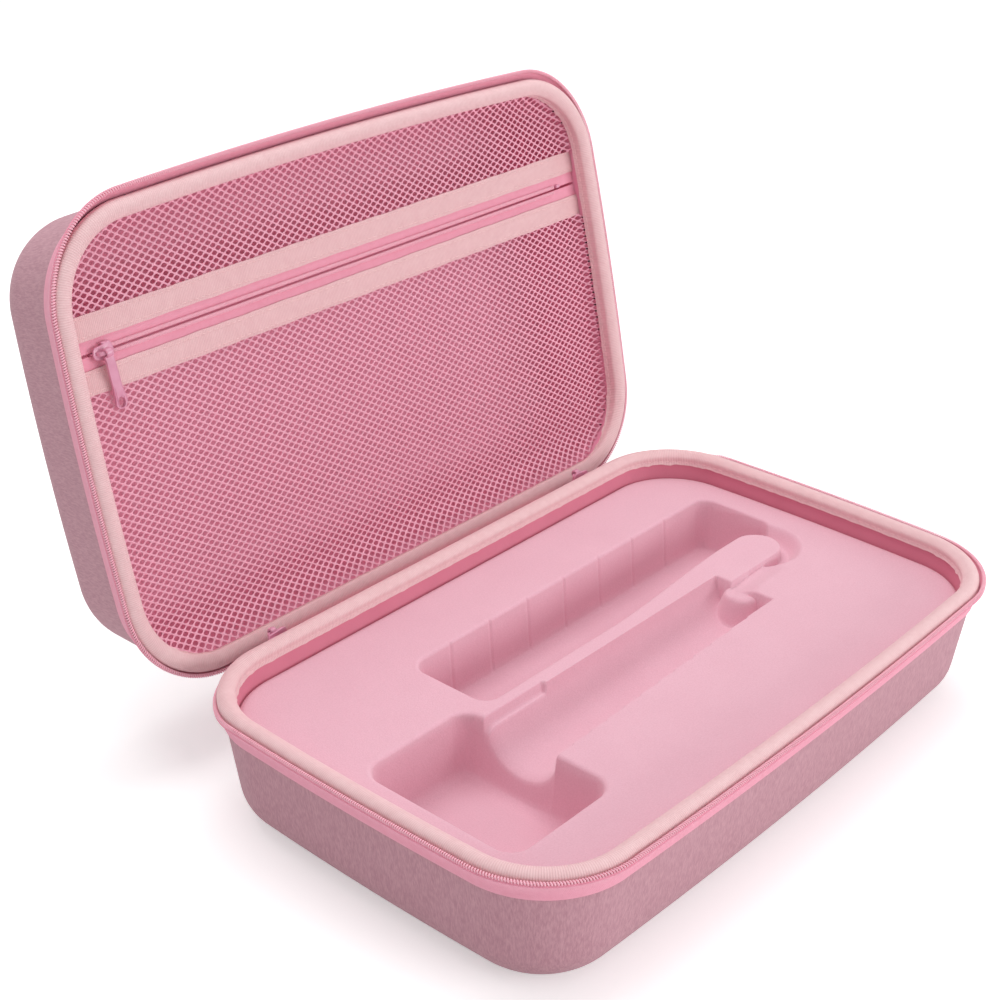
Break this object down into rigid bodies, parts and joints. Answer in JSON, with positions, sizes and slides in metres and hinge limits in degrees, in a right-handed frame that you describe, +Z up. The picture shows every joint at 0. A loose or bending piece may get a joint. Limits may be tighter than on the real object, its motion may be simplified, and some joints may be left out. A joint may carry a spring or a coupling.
{
  "type": "hard zip case",
  "caption": "Open hard-shell zip case with a moulded insert tray in its base and a zipped net pocket in its lid.",
  "frame": {"origin": "middle of the base's flat underside, on the surface that the case stands on", "axes": "+X along the hinge, +Y from the front of the base towards the hinge and the open lid, +Z up"},
  "size_m": [0.3552, 0.3418, 0.2655],
  "materials": {
    "heathered_fabric": "matt heathered pink fabric over moulded foam",
    "smooth_lining": "smooth dark pink lining",
    "flocked_insert": "soft velvety pale pink",
    "ribbed_binding": "fine ribbed peach tape",
    "zip_tape": "woven pink tape",
    "zip_coil": "pink nylon coil, slightly glossy",
    "knit_net": "knitted pink net",
    "ribbed_trim": "fine ribbed peach tape",
    "painted_metal": "satin lilac pink paint"
  },
  "bodies": {
    "base": {"base_shell": "heathered_fabric", "base_lining": "smooth_lining", "base_binding": "ribbed_binding", "base_zip_tape": "zip_tape", "base_zip_coil": "zip_coil", "insert_tray": "flocked_insert", "hinge_strip_foot": "zip_tape", "main_slider_left": "painted_metal", "main_slider_right": "painted_metal"},
    "lid": {"lid_shell": "heathered_fabric", "lid_lining": "smooth_lining", "lid_binding": "ribbed_binding", "lid_zip_tape": "zip_tape", "lid_zip_coil": "zip_coil", "hinge_strip": "zip_tape", "pocket_net_upper": "knit_net", "pocket_net_lower": "knit_net", "pocket_trim_upper": "ribbed_trim", "pocket_trim_lower": "ribbed_trim", "pocket_zip_tape_upper": "zip_tape", "pocket_zip_tape_lower": "zip_tape", "pocket_coil_upper": "zip_coil", "pocket_coil_lower": "zip_coil", "pocket_zip_stop_left": "painted_metal", "pocket_zip_stop_right": "painted_metal"},
    "pocket_slider": {"pocket_slider": "painted_metal"},
    "pocket_pull": {"pocket_pull": "painted_metal"},
    "main_pull_left": {"main_pull_left": "painted_metal"},
    "main_pull_right": {"main_pull_right": "painted_metal"}
  },
  "joints": [
    {"name": "lid_hinge", "type": "hinge", "parent": "base", "child": "lid", "pos_m": [0, 0.109, 0.052], "axis": [-1, 0, 0], "range_deg": [-103, 40]},
    {"name": "pocket_zip", "type": "slide", "parent": "lid", "child": "pocket_slider", "axis": [1, 0, 0], "range_m": [0, 0.3]},
    {"name": "pocket_pull_swing", "type": "hinge", "parent": "pocket_slider", "child": "pocket_pull", "pos_m": [-0.1535, 0.16339, 0.19955], "axis": [-1, 0, 0], "range_deg": [0, 155]},
    {"name": "main_pull_left_swing", "type": "hinge", "parent": "base", "child": "main_pull_left", "pos_m": [-0.1092, 0.1157, 0.0617], "axis": [1, 0, 0], "range_deg": [-10, 10]},
    {"name": "main_pull_right_swing", "type": "hinge", "parent": "base", "child": "main_pull_right", "pos_m": [0.1092, 0.1157, 0.0617], "axis": [1, 0, 0], "range_deg": [-10, 10]}
  ]
}
